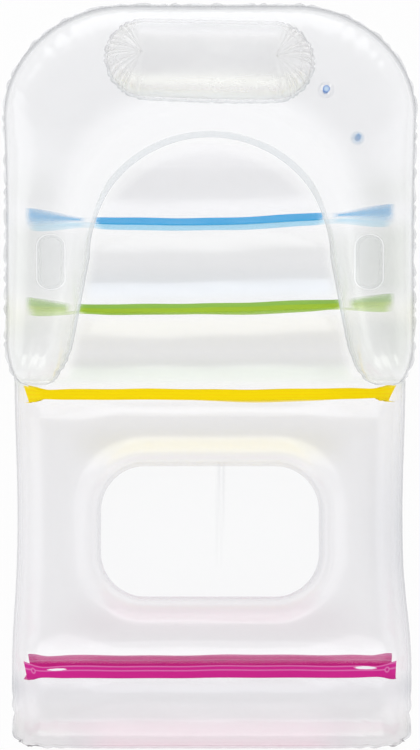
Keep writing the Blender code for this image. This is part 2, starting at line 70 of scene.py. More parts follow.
# Clear film of the mat
# The mat is two layers of clear glossy vinyl, welded together all round in a flat flange and
# blown up. Each layer lets most light through, mirrors the studio and is faintly milky, and it
# looks denser where it is seen along its surface.
CLEAR_TINT = (0.976, 0.974, 0.980, 1)
MILK = (0.85, 0.85, 0.87, 1)
WHITE_MILK = (0.95, 0.955, 0.97, 1)


class Wire:
    """One output in a material's node tree. Arithmetic on it adds Math nodes."""

    def __init__(self, tree, socket=None):
        self.tree = tree
        self.socket = socket

    def node(self, kind, settings=None, inputs=None, output=0):
        """Adds a node: its settings first, a ramp's stops among them, then values and links."""
        made = self.tree.nodes.new("ShaderNode" + kind)
        for name, value in (settings or {}).items():
            if name == "stops":
                ramp = made.color_ramp
                while len(ramp.elements) < len(value):
                    ramp.elements.new(1)
                for element, (position, color) in zip(ramp.elements, value):
                    element.position = position
                    element.color = color
            else:
                setattr(made, name, value)
        for name, value in (inputs or {}).items():
            if isinstance(value, Wire):
                self.tree.links.new(value.socket, made.inputs[name])
            else:
                made.inputs[name].default_value = value
        return Wire(self.tree, made.outputs[output] if made.outputs else None)

    def math(self, operation, first, second=0, clamp=False):
        settings = {"operation": operation, "use_clamp": clamp}
        return self.node("Math", settings, {0: first, 1: second})

    def __add__(self, other):
        return self.math("ADD", self, other)

    __radd__ = __add__

    def __rsub__(self, other):
        return self.math("SUBTRACT", other, self)

    def __mul__(self, other):
        return self.math("MULTIPLY", self, other)

    __rmul__ = __mul__

    def __pow__(self, other):
        return self.math("POWER", self, other)

    def clamped(self):
        return self.math("ADD", self, 0, clamp=True)

    def mixed(self, first, second):
        """A colour between two, with this wire as the share of the second."""
        inputs = {0: self, 6: first, 7: second}
        return self.node("Mix", {"data_type": "RGBA"}, inputs, 2)

    def mask(self, name):
        """A piece's own painted mask, a number at each of its points."""
        return self.node("Attribute", {"attribute_name": name}, output="Fac")


def new_finish(name):
    """An empty material, and a wire to build it with."""
    material = bpy.data.materials.new(name)
    material.use_nodes = True
    material.node_tree.nodes.clear()
    return material, Wire(material.node_tree)


def see_through(wire, surface, seen, tint=(1, 1, 1, 1), veil=None):
    """Ends a material: a share of its surface is seen, the rest is clear, and a mask hides it."""
    clear = wire.node("BsdfTransparent", inputs={"Color": tint})
    film = wire.node("MixShader", inputs={0: seen.clamped(), 1: clear, 2: surface})
    if veil:
        nothing = wire.node("BsdfTransparent", inputs={"Color": (1, 1, 1, 1)})
        film = wire.node("MixShader", inputs={0: wire.mask(veil), 1: film, 2: nothing})
    wire.node("OutputMaterial", inputs={"Surface": film})


def film_finish(name, tint, milk, cover, edge_cover, mirror, roughness, marks_and_shading=(), lit=None,
                glow=0):
    """See-through vinyl: cover is how much of it is seen face on, edge_cover how much edge on.

    Each listed mark is a painted mask with its colour and the cover that it adds: some are tints,
    some painted shade in creases and on crests, and some painted highlights. The whitening mask
    marks where another film lies on this one, and on the collar also a painted highlight, and makes
    it milky white; hidden says how far it merges with that film. The mask named by lit glows as a
    painted glint, and glow is how brightly.
    """
    material, wire = new_finish(name)
    facing = wire.node("LayerWeight", inputs={"Blend": 0.5}, output="Facing")
    clouds = wire.node("TexNoise", inputs={"Scale": 5, "Detail": 4, "Roughness": 0.55})
    grain = wire.node("TexNoise", inputs={"Scale": 160, "Detail": 2})
    uneven = 0.8 + 0.4 * clouds
    covered = wire.mask("covered")
    seen = cover * uneven + edge_cover * facing ** 3 * (1 - covered)
    color = milk
    for mask_name, mark_color, strength in marks_and_shading:
        mask = wire.mask(mask_name)
        seen = seen + mask * strength
        color = mask.mixed(color, mark_color)
    inputs = {
        "Base Color": covered.mixed(color, WHITE_MILK),
        "Metallic": mirror * (1 - covered),
        "Roughness": roughness * uneven,
        "Normal": wire.node("Bump", inputs={"Strength": 0.02, "Distance": 0.0004, "Height": grain}),
    }
    if lit:
        inputs["Emission Color"] = wire.mask(lit).mixed((0, 0, 0, 1), (1, 1, 1, 1))
        inputs["Emission Strength"] = glow
    surface = wire.node("BsdfPrincipled", inputs=inputs)
    see_through(wire, surface, seen, tint, "hidden")
    return material


# Marks on the clear film: tints near the bands and at the foot, painted shade along the rims, crests
# and creases, and clearer film at the welds with a painted highlight beside the window.
MARKS_AND_SHADING = (
    ("near_yellow", (0.90, 0.88, 0.68, 1), 0.09),
    ("near_pink", (0.84, 0.62, 0.70, 1), 0.12),
    ("crease", (0.60, 0.61, 0.64, 1), 0.25),
    ("near_blue", (0.76, 0.82, 0.90, 1), 0.09),
    ("near_green", (0.70, 0.78, 0.68, 1), 0.12),
    ("shade", (0.62, 0.64, 0.68, 1), 0.08),
    ("welded", MILK, -0.17),
)
clear_film = film_finish("clear_film", CLEAR_TINT, MILK, 0.14, 0.7, 0.5, 0.2, MARKS_AND_SHADING)

back_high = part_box("back_top_sheet")[1]
seat_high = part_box("seat_top_sheet")[1]
foot_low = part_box("foot_top_sheet")[0]
window_low, window_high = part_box("seat_window_panel")
collar_low, collar_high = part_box("collar_top_sheet")
half_width = back_high.x
mat_head = back_high.y
foot_end = foot_low.y
mat_middle = (window_low.z + window_high.z) / 2
mat_half_height = seat_high.z - mat_middle
film_half = 0.0004
bulge = 0.024
flange = 0.008
edge_radius = 0.07
back_lobe = 0.085
seat_lobe = 0.045
side_lobe_middle = 0.31
side_lobe_half = 0.12
side_lobe_gain = 0.7
foot_corner = 0.04
head_corner = 0.2
corner_reach = 0.08
pucker_pitch = 0.042
pucker_reach = 0.03
pull_reach = 0.02
scallop_depth = 0.013
waist_share = 0.016
left_widening_share = 0.012
right_widening_share = 0.030
fine_step = 0.006
close_step = 0.005
window_overlap = 0.006
window_flange = 0.003
window_half = window_high.x - window_overlap - window_flange
window_y = (window_low.y + window_high.y) / 2
window_half_length = window_high.y - window_overlap - window_flange - window_y
window_corner = 0.098
rail_radius = 0.09
collar_head = collar_high.y
arm_end = collar_low.y
bend_y = 0.27
arm_width = 0.179
inner_half = half_width - arm_width
inner_rise = 0.246
inner_flare = 0.05
collar_fade = 0.025


def spread(start, end, step=fine_step):
    """Evenly spaced places from start to end, about a step apart."""
    return np.linspace(start, end, max(2, round(abs(end - start) / step) + 1))


def rim_places(edge, inward, radius=edge_radius, count=15):
    """Places from a welded edge inwards: two on its flange, then close ones up the round rise."""
    turn = np.linspace(0, math.pi / 2, count)
    climb = flange + radius * (1 - np.cos(turn))
    return edge + inward * np.concatenate([[0, flange / 2], climb])


def joined(*places):
    """All places in order, without doubles."""
    return np.unique(np.round(np.concatenate(places), 6))


def rise(distance, radius=edge_radius):
    """Share of the full height at a distance inside a weld, a quarter of an ellipse."""
    share = np.clip(distance / radius, 0, 1)
    return np.sqrt(1 - (1 - share) ** 2)


def eased(value):
    """0 to 1 with a gentle start and end."""
    value = np.clip(value, 0, 1)
    return value * value * (3 - 2 * value)


def humps(along, pitch, seed):
    """Uneven puckers along a seam: 0 in a sharp crease, 1 on the round hump between two."""
    random = np.random.default_rng(seed)
    first, second = random.uniform(0, 2 * math.pi, 2)
    phase = along / pitch
    phase = phase + 0.30 * np.sin(2 * math.pi * along / (5.3 * pitch) + first)
    phase = phase + 0.22 * np.sin(2 * math.pi * along / (2.3 * pitch) + second)
    return np.abs(np.sin(math.pi * phase))


def ripples(x, y, seed, length, height):
    """Slow irregular waves in a film, as a height at each point."""
    random = np.random.default_rng(seed)
    total = np.zeros_like(x)
    for _ in range(7):
        angle, phase = random.uniform(0, 2 * math.pi, 2)
        wave = length * random.uniform(0.6, 1.6)
        total += np.sin(2 * math.pi * (x * math.cos(angle) + y * math.sin(angle)) / wave + phase)
    return total * height / math.sqrt(7)


def grid_piece(name, layers, materials, keep=None, masks=None):
    """A mesh of one or more grids of points, each of shape (rows, columns, 3).

    It has one material for all grids, or one for each. Keep says for each grid which cells stay.
    """
    points, faces, indices, offset = [], [], [], 0
    for number, layer in enumerate(layers):
        rows, columns = layer.shape[:2]
        index = np.arange(rows * columns).reshape(rows, columns) + offset
        cells = np.stack([index[:-1, :-1], index[:-1, 1:], index[1:, 1:], index[1:, :-1]], axis=-1)
        cells = cells.reshape(-1, 4) if keep is None else cells[keep[number]]
        points.append(layer.reshape(-1, 3))
        faces.append(cells)
        indices.append(np.full(len(cells), number % len(materials), np.int32))
        offset += rows * columns
    points = np.concatenate(points)
    faces = np.concatenate(faces)
    used = np.unique(faces)
    renumbered = np.zeros(len(points), int)
    renumbered[used] = np.arange(len(used))
    mesh = bpy.data.meshes.new(name)
    mesh.vertices.add(len(used))
    mesh.vertices.foreach_set("co", points[used].astype(np.float32).ravel())
    mesh.loops.add(faces.size)
    mesh.loops.foreach_set("vertex_index", renumbered[faces].astype(np.int32).ravel())
    mesh.polygons.add(len(faces))
    mesh.polygons.foreach_set("loop_start", np.arange(0, faces.size, 4, dtype=np.int32))
    mesh.update(calc_edges=True)
    mesh.validate()
    for mask_name, values in (masks or {}).items():
        attribute = mesh.attributes.new(mask_name, "FLOAT", "POINT")
        attribute.data.foreach_set("value", values.ravel()[used].astype(np.float32))
    for material in materials:
        mesh.materials.append(material)
    mesh.polygons.foreach_set("material_index", np.concatenate(indices))
    mesh.shade_smooth()
    piece = bpy.data.objects.new(name, mesh)
    bpy.context.scene.collection.objects.link(piece)
    return piece


Weld = namedtuple("Weld", "foot head left_bend right_bend sway sway_start", defaults=(0, 0, 0, 0))


def baffle_weld(node, *bends):
    """A baffle's weld: its foot and head side, how far its ends bend headwards, and its sway."""
    low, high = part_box(node)
    return Weld(low.y, high.y, *bends)


magenta_weld = baffle_weld("magenta_baffle")
yellow_weld = baffle_weld("yellow_baffle", 0, 0.004)
green_weld = baffle_weld("green_baffle", 0.007, 0.017, 0.0035, -0.05)
blue_weld = baffle_weld("blue_baffle", 0.007, 0.017, 0.0035, 0.06)
# The mat's upper film is welded to the collar along one more line.
collar_weld = Weld(0.537, 0.549)
TOP_WELDS = (magenta_weld, yellow_weld, green_weld, blue_weld, collar_weld)
BOTTOM_WELDS = TOP_WELDS[:-1]
baffle_half = 0.404


def weld_bend(weld, x):
    """How far a weld lies headwards of its straight line."""
    sway = weld.sway * np.sin(math.pi * (x - weld.sway_start) / baffle_half)
    return np.where(x < 0, weld.left_bend, weld.right_bend) * (x / baffle_half) ** 2 + sway


def weld_distance(x, y, side):
    """Distance from the nearest cross weld of the upper or lower film."""
    gap = np.full_like(y, 1.0)
    for weld in TOP_WELDS if side > 0 else BOTTOM_WELDS:
        bent = y - weld_bend(weld, x)
        gap = np.minimum(gap, np.maximum(np.maximum(weld.foot - bent, bent - weld.head), 0))
    return gap


def bump_at(value, middle, half):
    """1 at the middle, fading to 0 at half away from it."""
    return eased(1 - np.abs(value - middle) / half)


def bell(value, middle, width):
    """1 at the middle, fading like a bell on both sides, mostly within the width."""
    return np.exp(-((value - middle) / width) ** 2)


def fading(gap, reach):
    """1 at a weld, less and less with the distance from it."""
    return np.exp(-np.maximum(gap, 0) / reach)


def collar_gap(x, y):
    """Distance under the collar from its inner edge, negative where the mat is bare."""
    arm_gap = np.abs(x) - inner_half - inner_flare * (bend_y - y) / (bend_y - arm_end)
    bend_gap = (np.hypot(x / inner_half, (y - bend_y) / inner_rise) - 1) * inner_half
    return np.where(y > bend_y, bend_gap, arm_gap)


def covered_share(x, y):
    """1 where the collar lies over the mat, 0 where the mat is bare."""
    return eased(collar_gap(x, y) / collar_fade) * eased((y - arm_end) / collar_fade)


def window_gap(x, y):
    """Distance outside the window's rounded outline, negative inside it."""
    across = np.abs(x) - window_half + window_corner
    along = np.abs(y - window_y) - window_half_length + window_corner
    outside = np.hypot(np.maximum(across, 0), np.maximum(along, 0))
    return outside + np.minimum(np.maximum(across, along), 0) - window_corner


def corner_share(x, y):
    """1 at the mat's foot corners, where the seam gathers most."""
    return bell(np.hypot(half_width - np.abs(x), y - foot_end), 0, corner_reach)


def mat_height(u, x, y, side):
    """Height of a film over the mat's middle, u being x before the corners draw it in."""
    side_lobe = 1 + side_lobe_gain * bump_at(np.abs(x), side_lobe_middle, side_lobe_half)
    in_back = y >= (yellow_weld.foot + yellow_weld.head) / 2
    lobe = np.where(in_back, back_lobe, seat_lobe * side_lobe)
    swell = np.sin(math.pi / 2 * np.clip(weld_distance(x, y, side) / lobe, 0, 1))
    height = mat_half_height - bulge + bulge * swell
    side_gap = half_width - flange - np.abs(u)
    foot_gap = y - foot_end - flange
    corner = corner_share(x, y)
    gather = 1 - humps(y + np.abs(x), pucker_pitch, 5) ** 0.6
    side_crease = (0.015 + 0.24 * corner) * fading(side_gap, pucker_reach)
    foot_crease = (0.004 + 0.18 * corner) * fading(foot_gap, pucker_reach)
    height = height * rise(side_gap) * rise(foot_gap) * rise(mat_head - flange - y)
    height = height * rise(window_gap(x, y) - window_flange, rail_radius)
    height = height * (1 - side_crease * gather) * (1 - foot_crease * gather)
    waves = ripples(x, y, 11, 0.16, 0.0007) * rise(side_gap) * rise(foot_gap)
    return film_half + height + waves


# The lines pressed in round the window, as painted shade: distance from weld, width and strength.
RAIL_RINGS = ((0.005, 0.002, 0.5), (0.014, 0.003, 0.15), (0.025, 0.003, 0.15))


def mat_layer(us, ys, place, side):
    """The upper (side 1) or lower (side -1) film of a part of the mat, and its masks."""
    u, v = np.meshgrid(us, ys)
    x, y = place(u, v)
    from_middle = np.abs(x)
    side_gap = half_width - np.abs(u)
    foot_gap = y - foot_end
    nearest = np.minimum(np.minimum(side_gap, foot_gap), mat_head - y)
    rim = np.clip(1 - nearest / flange, 0, 1)
    corner = corner_share(x, y)
    wave = 0.0006 * corner * rim * np.sin((x + y) / 0.006)
    z = mat_middle + side * mat_height(u, x, y, side) + wave
    covered = covered_share(x, y)
    merged = 0.92 if side > 0 else 0.7
    near_rim = fading(np.minimum(side_gap, mat_head - y), 0.06)
    rail_gap = window_gap(x, y) - window_flange
    rings = sum(strength * bell(rail_gap, gap, width) for gap, width, strength in RAIL_RINGS)
    rings = rings * (0.15 + 0.85 * eased((x - y + window_y) / 0.2))
    inwards = 1.2 - (x / 0.33) ** 4
    central = np.clip(1.2 - (x / 0.3) ** 4, 0, 1)
    masks = {
        "near_yellow": bump_at(y, yellow_weld.foot - 0.10, 0.06) * central
        + 0.5 * bump_at(y, green_weld.foot - 0.03, 0.07)
        + 0.2 * bump_at(y, blue_weld.foot - 0.03, 0.05)
        + 0.6 * bump_at(y, foot_end + 0.03, 0.07) * eased((from_middle - 0.2) / 0.12),
        "near_blue": bump_at(y, green_weld.head + 0.04, 0.06),
        "near_pink": 0.5 * bump_at(y, magenta_weld.head + 0.09, 0.06) * np.clip(inwards, 0, 1)
        + bump_at(y, foot_end + 0.02, 0.08) * np.clip(inwards, 0.2, 1),
        # Painted shade along the welded rim and in the lines round the window, left off under the
        # collar.
        "crease": (rim * 0.45 + 0.5 * rings) * (1 - covered),
        "near_green": bump_at(y, yellow_weld.head + 0.035, 0.05),
        "shade": bump_at(y, magenta_weld.foot - 0.03, 0.045)
        + 0.8 * eased((x - 0.33) / 0.06) * bump_at(y, window_y, 0.35)
        + 0.7 * bump_at(y, foot_end + 0.03, 0.06) * eased((from_middle - 0.2) / 0.1),
        # Clearer film along the cross welds, and a painted highlight on the rail above and below the
        # window.
        "welded": bell(weld_distance(x, y, side), 0, 0.010) * (from_middle < baffle_half)
        + 0.7 * bell(rail_gap, 0.017, 0.012) * eased((np.abs(y - window_y) - 0.1) / 0.04),
        "covered": covered,
        "hidden": covered * (merged + (1 - merged) * near_rim),
    }
    scallop = 0.0004 + scallop_depth * corner
    side_run = y + from_middle.max(axis=1, keepdims=True)
    side_pull = scallop * fading(side_gap, pull_reach) * (1 - humps(side_run, pucker_pitch, 5))
    foot_run = foot_end + from_middle
    foot_pull = scallop * fading(foot_gap, pull_reach) * (1 - humps(foot_run, pucker_pitch, 5))
    x = x - np.sign(u) * side_pull
    y = y + foot_pull
    widening = np.where(u > 0, right_widening_share, left_widening_share)
    widening = widening * eased((window_y - 0.05 - y) / 0.25)
    waist = waist_share * bump_at(y, window_y + 0.03, 0.33) - widening
    x = x * (1 - waist * (u / half_width) ** 2)
    return np.stack([x, y, np.maximum(z, 0.0002)], axis=-1), masks


def plain_place(u, v):
    """x drawn in at the mat's rounded corners."""
    foot_share = np.clip(1 - (v - foot_end) / foot_corner, 0, 1)
    head_share = np.clip(1 - (mat_head - v) / head_corner, 0, 1)
    loss = foot_corner * (1 - np.sqrt(1 - foot_share ** 2))
    loss = loss + head_corner * (1 - np.sqrt(1 - head_share ** 2))
    return u * (1 - loss / half_width), v


def rounded_places(u, v, half, half_length, radius):
    """Grid places bent into arcs round a window's corners, and left straight farther out."""
    across = np.abs(u) - half + radius
    along = np.abs(v - window_y) - half_length + radius
    reach = np.maximum(across, along)
    angle = math.pi / 4 * np.minimum(across, along) / np.maximum(reach, 1e-9)
    near, far = reach * np.sin(angle), reach * np.cos(angle)
    wide = across >= along
    bent_across, bent_along = np.where(wide, far, near), np.where(wide, near, far)
    straight = eased((reach - radius - window_flange - rail_radius) / 0.03)
    bent_across = bent_across + (across - bent_across) * straight
    bent_along = bent_along + (along - bent_along) * straight
    corner = (across > 0) & (along > 0)
    x = np.where(corner, np.sign(u) * (half - radius + bent_across), u)
    beside = np.sign(v - window_y) * (half_length - radius + bent_along)
    return x, np.where(corner, window_y + beside, v)


def window_place(u, v):
    """The seat's places, bent round the opening in it."""
    return rounded_places(u, v, window_half, window_half_length, window_corner)


def outside_valve(layer, node):
    """Which cells of a grid lie outside the hole that a valve's base is welded into."""
    hole_radius = 0.011
    low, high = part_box(node)
    middle = (layer[:-1, :-1] + layer[1:, :-1] + layer[:-1, 1:] + layer[1:, 1:]) / 4
    across = middle[..., 0] - (low.x + high.x) / 2
    along = middle[..., 1] - (low.y + high.y) / 2
    return np.hypot(across, along) > hole_radius


def both_films(make_layer):
    """An upper and a lower film from one function, and the masks of both."""
    upper, masks = make_layer(1)
    lower, lower_masks = make_layer(-1)
    return upper, lower, {key: np.stack([masks[key], lower_masks[key]]) for key in masks}


def mat_part(name, us, ys, place, nodes, opening=False):
    """One part of the mat: two films with holes where the opening and the valve are."""
    upper, lower, masks = both_films(lambda side: mat_layer(us, ys, place, side))
    film = np.ones((len(ys) - 1, len(us) - 1), bool) & np.logical_not(opening)
    keep = [film, film & outside_valve(lower, "mat_valve_base")]
    piece = grid_piece(name, [upper, lower], [clear_film], keep, masks)
    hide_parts(*nodes)
    return piece


side_places = joined(rim_places(half_width, -1), rim_places(-half_width, 1),
                     spread(-half_width + flange + edge_radius, half_width - flange - edge_radius))
back_places = joined(spread(yellow_weld.foot, mat_head - flange - edge_radius, close_step),
                     rim_places(mat_head, -1))
back_chamber = mat_part("back_chamber", side_places, back_places, plain_place,
                        ["back_top_sheet", "back_bottom_sheet"])
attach(back_chamber, "back")

foot_places = joined(rim_places(foot_end, 1),
                     spread(foot_end + flange + edge_radius, magenta_weld.foot, close_step))
foot_chamber = mat_part("foot_chamber", side_places, foot_places, plain_place,
                        ["foot_top_sheet", "foot_bottom_sheet"])
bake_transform(foot_chamber)

# Seat part of the mat
# The same two films go round a rounded opening, and are welded there to a single flat sheet. Blown
# up, they make a soft rail round it, with the lines of the weld pressed into it.
rail_rows = 25
rail = rim_places(window_half, 1, rail_radius, rail_rows)
corner_places = spread(window_half - window_corner, window_half, close_step)
inner = spread(-(window_half - window_corner), window_half - window_corner)
outward = joined(corner_places, rail, spread(rail[-1], half_width - flange - edge_radius),
                 rim_places(half_width, -1))
seat_us = joined(inner, outward, -outward)
rail = window_y + rim_places(window_half_length, 1, rail_radius, rail_rows)
corner_places = spread(window_half_length - window_corner, window_half_length, close_step)
corner_places = window_y + corner_places
inner = window_y + spread(window_corner - window_half_length, window_half_length - window_corner)
headward = joined(corner_places, rail, spread(rail[-1], yellow_weld.foot, close_step))
footward = 2 * window_y - joined(corner_places, rail)
footward = joined(footward, spread(magenta_weld.foot, footward.min(), close_step))
seat_ys = joined(inner, headward, footward)
middle_u = (seat_us[1:] + seat_us[:-1]) / 2
middle_v = (seat_ys[1:] + seat_ys[:-1]) / 2
inside = np.abs(middle_v - window_y)[:, None] < window_half_length
inside = inside & (np.abs(middle_u)[None, :] < window_half)
seat_chamber = mat_part("seat_chamber", seat_us, seat_ys, window_place,
                        ["seat_top_sheet", "seat_bottom_sheet"], inside)
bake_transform(seat_chamber)

# Seat window
# One flat sheet of thinner clear film closes the seat's opening. It was packed folded, so a double
# crease runs down its middle, and it is stretched flat by the blown-up rail round it.
# Painted shade along the double crease.
window_film = film_finish("window_film", (0.985, 0.988, 0.992, 1), (0.90, 0.92, 0.95, 1),
                          0.05, 0.5, 0.5, 0.1, (("crease", (0.72, 0.75, 0.80, 1), 0.16),))
sheet_half = window_high.x
sheet_half_length = window_high.y - window_y
u, v = np.meshgrid(spread(-1, 1, 0.02), spread(-1, 1, 0.03))
x, y = rounded_places(sheet_half * u, window_y + sheet_half_length * v, sheet_half,
                      sheet_half_length, window_corner + window_flange + window_overlap)
crease_gap = 0.011
crease_height = 0.0012
crease_x = 0.016 + 0.004 * (y - window_y) / sheet_half_length
crease = bell(x, crease_x, 0.0035) + bell(x, crease_x + crease_gap, 0.003)
crease = crease * np.clip((y - window_y + 0.09) / 0.2, 0, 1)
inwards = (1 - (x / sheet_half) ** 2) * (1 - ((y - window_y) / sheet_half_length) ** 2)
inwards = np.clip(inwards, 0, 1)
sag = 0.004 * inwards
z = mat_middle - sag + crease_height * crease + ripples(x, y, 4, 0.2, 0.0004) * inwards
seat_window = grid_piece("seat_window", [np.stack([x, y, z], axis=-1)], [window_film],
                         masks={"crease": crease})
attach(seat_window, "seat")
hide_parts("seat_window_panel")

# Cross baffles
# Each is a strip of coloured see-through vinyl folded into a channel. One flange is welded under
# the upper film and one on the lower film, and the web between them holds the mat flat. Most
# flanges show weld lines, and the ends spread out where the films come together.


def colored_film(name, color, tint, line_color, cover, glow=0):
    """See-through coloured vinyl. Glow is painted light in its own colour, as if lit through from
    below.

    The mask named veil hides it, thin thins it, and glint whitens it.
    """
    material, wire = new_finish(name)
    clouds = wire.node("TexNoise", inputs={"Scale": 9, "Detail": 5, "Roughness": 0.6})
    fibre = wire.node("TexNoise", inputs={"Scale": 60, "Detail": 3})
    line = wire.mask("weld_line")
    glint = wire.mask("glint")
    dark = tuple(0.88 * part for part in color[:3]) + (1,)
    paint = line.mixed(clouds.mixed(color, dark), line_color)
    bump = wire.node("Bump", inputs={"Strength": 0.15, "Distance": 0.001,
                                     "Height": fibre * 0.6 + line * 0.8})
    surface = wire.node("BsdfPrincipled", inputs={
        "Base Color": glint.mixed(paint, (1, 1, 1, 1)),
        "Roughness": 0.3 + 0.15 * clouds,
        "Specular IOR Level": 0.15,
        "Emission Color": paint,
        "Emission Strength": glow,
        "Normal": bump,
    })
    facing = wire.node("LayerWeight", inputs={"Blend": 0.5}, output="Facing")
    seen = cover * (0.9 + 0.2 * clouds) + 0.2 * facing ** 2 + 0.2 * line
    seen = seen * (1 - wire.mask("thin")) + glint
    see_through(wire, surface, seen, tint, "veil")
    return material


film_gap = 0.0006
flange_rows = 25
web_rows = 12
end_length = 0.05
tip_fade = 0.02
weld_line_share = 0.04
# How far under the collar a band's upper (1) and lower (-1) flange still shows clearly.
SEEN_EDGES = {1: 0.009, -1: 0.018}


def make_baffle(name, weld, material, waist, flare, thin, lines=(), glints=(), rings=(),
                slants=(0, 0)):
    """A channel across the mat. Its ends spread beyond the waist, and the collar veils them.

    Thin is how much its web and lower flange are thinned. Lines are shares across its flanges. On
    the upper one, each glint is a highlight's place and half sizes, and each ring the place of a
    weld line's round end. Slants are how far its ends lean in, left and right.
    """
    fine_end = spread(baffle_half - 0.04, baffle_half, 0.0015)
    us = joined(spread(-baffle_half, baffle_half, 0.004), fine_end, -fine_end)
    from_middle = np.abs(us)
    lean = np.where(us < 0, slants[0], -slants[1])
    lean = lean * eased((from_middle - baffle_half + end_length) / end_length)
    width = weld.head - weld.foot
    end = eased((from_middle - waist) / (baffle_half - waist))
    spread_end = 1 + flare * end - 0.12 * bump_at(from_middle, waist, 0.05)
    seed = 100 * weld.foot
    wander = 0.0007 * np.sin(us * 17 + seed) + 0.0005 * np.sin(us * 41 + 2 * seed)
    middle = (weld.foot + weld.head) / 2 + weld_bend(weld, us)
    middle = middle + 0.03 * width * np.sin(us * 4 + seed)
    head = middle + width / 2 * spread_end + wander
    foot = middle - width / 2 * spread_end + 0.5 * wander
    under = covered_share(us, middle)
    tip = eased((from_middle - baffle_half + tip_fade) / tip_fade)
    rows = []
    masks = {"weld_line": [], "thin": [], "veil": [], "glint": []}

    def add_row(x, y, z, **strengths):
        """One line of points across the mat, and how strong each mask is along it."""
        rows.append(np.stack([x, y, z], axis=-1))
        for mask_name, values in masks.items():
            values.append(strengths.get(mask_name, 0) + 0 * us)

    def add_flange(side, shares):
        """The upper (side 1) or lower (side -1) flange, at shares from its head to its foot."""
        inwards = collar_gap(us, middle) - SEEN_EDGES[side]
        faint = 0.95 * eased(inwards / 0.008) * (1 - eased((inwards - 0.02) / 0.03))
        faint = faint * eased((middle - arm_end) / collar_fade)
        for share in shares:
            y = head + (foot - head) * share
            z = mat_middle + side * (mat_height(us, us, y, side) - film_gap)
            crumple = 0.03 * np.abs(lean) * np.sin(us * 420 + 3 * share)
            line = sum(bell(share, place, weld_line_share) for place in lines) + 0 * us
            glint = 0
            if side > 0:
                for ring_x, ring_share in rings:
                    reach = np.hypot((us - ring_x) / 0.0045, (share - ring_share) / 0.15)
                    line = np.where(reach < 1, 0, line) + bell(reach, 1, 0.3)
                for place, middle_share, half, half_share in glints:
                    reach = np.hypot((us - place) / half, (share - middle_share) / half_share)
                    glint = glint + eased(3 - 3 * reach ** 2)
            clear = bell(share, 0.5 - 0.15 * side * end, 0.25 + 0.3 * end)
            veil = np.maximum(faint, under * (1 - 0.84 * clear * (1 - tip)))
            add_row(us + lean * share, y + crumple, z, weld_line=line,
                    thin=0 if side > 0 else thin, glint=glint, veil=veil)

    shares = np.linspace(0, 1, flange_rows)
    add_flange(1, shares)
    top = mat_height(us, us, foot, 1)
    low = mat_height(us, us, foot, -1)
    for share in np.linspace(0, 1, web_rows + 2)[1:-1]:
        sag = 0.006 * math.sin(math.pi * share) * np.sin(us * 9 + seed)
        add_row(us, foot + sag * (1 - end), mat_middle + top - (top + low) * share,
                thin=thin, veil=under * (0.55 + 0.45 * tip))
    add_flange(-1, shares[::-1])
    masks = {mask_name: np.clip(np.stack(values), 0, 1) for mask_name, values in masks.items()}
    piece = grid_piece(name, [np.stack(rows)], [material], masks=masks)
    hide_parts(name.replace("band", "baffle"))
    return piece


blue_film = colored_film("blue_film", (0.0, 0.43, 0.88, 1), (0.72, 0.91, 0.99, 1),
                         (0.12, 0.52, 0.84, 1), 0.82, 0.05)
green_film = colored_film("green_film", (0.54, 0.73, 0.07, 1), (0.58, 0.83, 0.18, 1),
                          (0.32, 0.60, 0.11, 1), 0.72)
yellow_film = colored_film("yellow_film", (1.0, 0.79, 0.0, 1), (0.97, 0.80, 0.01, 1),
                           (0.97, 0.64, 0.0, 1), 0.97, 0.14)
magenta_film = colored_film("magenta_film", (0.78, 0.025, 0.34, 1), (0.68, 0.04, 0.30, 1),
                            (0.78, 0.24, 0.52, 1), 0.85)
blue_band = make_baffle("blue_band", blue_weld, blue_film, 0.27, 1.6, 0.88)
green_band = make_baffle("green_band", green_weld, green_film, 0.27, 1.0, 0.5,
                         lines=spread(0, 0.46, 0.075))
yellow_band = make_baffle("yellow_band", yellow_weld, yellow_film, 0.358, 0.65, 0,
                          lines=(0.2, 0.5, 0.8), slants=(0.012, 0.018))
magenta_band = make_baffle("magenta_band", magenta_weld, magenta_film, 0.358, 0.45, 0.15,
                           lines=(0.08, 0.4), slants=(0.008, 0.002),
                           glints=((-0.33, 0.3, 0.022, 0.10), (0.335, 0.2, 0.025, 0.14)),
                           rings=((-0.3835, 0.45), (0.3825, 0.42)))
for piece in (blue_band, green_band, yellow_band):
    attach(piece, "back")
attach(magenta_band, "seat")

# Collar
# A horseshoe tube of two clear films, welded round its outside and inside. Blown up, its outer
# weld is too long for the shape, so it puckers into scallops, while the inner weld is drawn tight.
under_low, under_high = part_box("collar_bottom_sheet")
collar_floor = under_low.z
arm_middle = collar_low.z
head_middle = under_high.z
arm_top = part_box("left_grip_patch")[0].z
head_top = collar_high.z
arm_end_length = 0.09
arm_end_share = 0.35
arm_flat_share = 0.93
head_flat_share = 0.8
head_lean = 0.45
outer_bend_y = collar_head - 0.232
outer_straight = 0.17
section_power = 2.2
section_points = 45
head_sections = 120
inner_rim = 0.014
outer_rim = 0.0075
arm_scallop = 0.032
head_scallop_more = 0.01
crease_depth = 0.12
crease_reach = 0.025
end_crease_depth = 0.35
end_crease_pitch = 0.03
highlight_reach = 0.11


